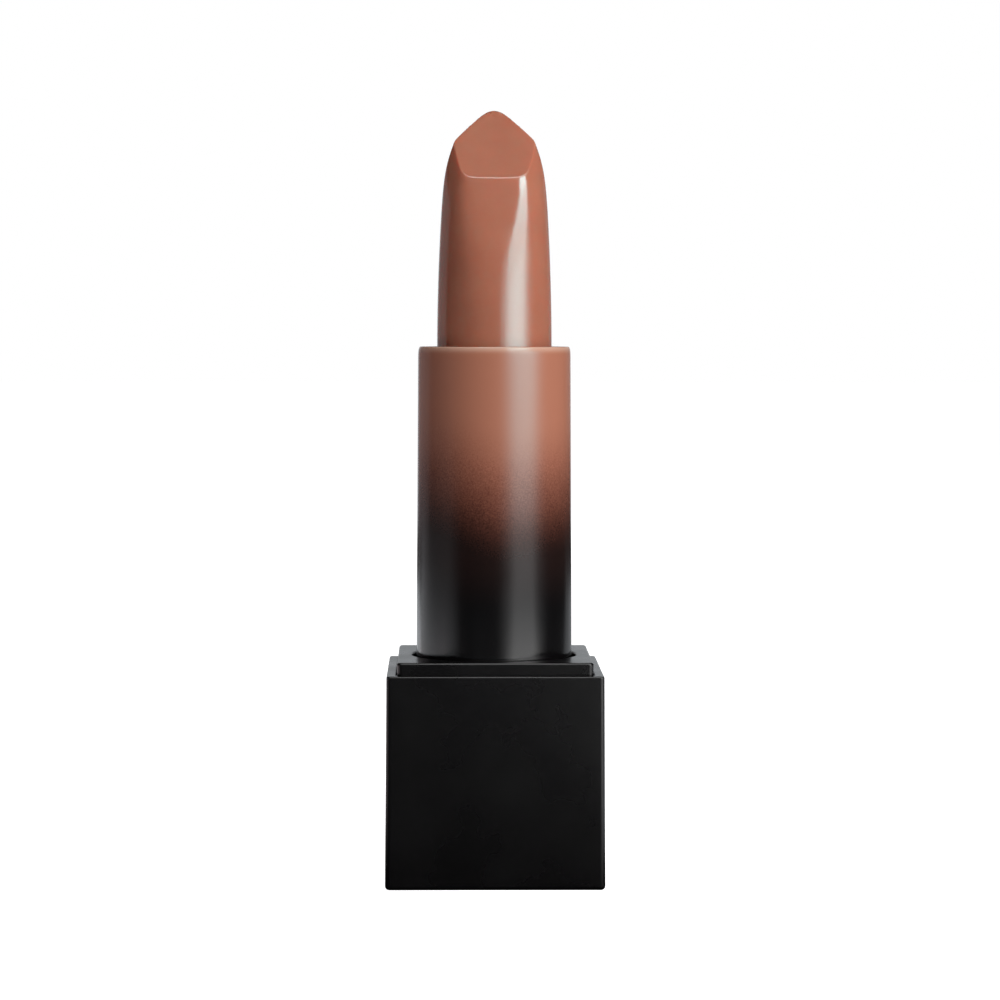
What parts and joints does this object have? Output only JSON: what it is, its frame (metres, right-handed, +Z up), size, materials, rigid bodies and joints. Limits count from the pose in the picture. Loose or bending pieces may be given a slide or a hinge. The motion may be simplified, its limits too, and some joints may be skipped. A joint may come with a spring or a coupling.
{
  "type": "lipstick case",
  "caption": "Twist-up lipstick case without its cap: square weighted base, collar, round turning tube with a helical cam, and a lifting cup with a faceted bullet.",
  "frame": {"origin": "centre of the base's underside, where the case stands", "axes": "+Z up along the case's axis, from the base to the bullet's tip; -Y is the front, which the bullet's slanted facet faces; +X is to the right of the front"},
  "size_m": [0.0228, 0.0228, 0.081],
  "materials": {
    "soft_touch_black": "satin",
    "dark_plastic": "matte",
    "steel": "plain",
    "magnet_plating": "polished",
    "label_paper": "matte",
    "mechanism_plastic": "natural",
    "brake_rubber": "matte",
    "tube_lacquer": "satin, fading to black towards the base",
    "bullet_wax": "satin"
  },
  "bodies": {
    "base": {"base_shell": "soft_touch_black", "inner_base": "dark_plastic", "base_weight": "steel", "collar": "soft_touch_black", "magnet_1": "magnet_plating", "magnet_2": "magnet_plating", "magnet_3": "magnet_plating", "magnet_4": "magnet_plating", "shade_label": "label_paper", "guide_tube": "mechanism_plastic", "brake_ring": "brake_rubber"},
    "tube": {"outer_tube": "tube_lacquer", "cam_sleeve": "mechanism_plastic"},
    "lift": {"cup": "mechanism_plastic", "bullet": "bullet_wax"}
  },
  "joints": [
    {"name": "tube_turn", "type": "hinge", "parent": "base", "child": "tube", "pos_m": [0, 0, 0.036], "axis": [0, 0, 1], "range_deg": [0, 540]},
    {"name": "cup_slide", "type": "slide", "parent": "base", "child": "lift", "axis": [0, 0, 1], "range_m": [-0.0266, 0]}
  ],
  "couplings": [
    {"joint": "cup_slide", "follows": "tube_turn", "m_per_rad": -0.002822}
  ]
}
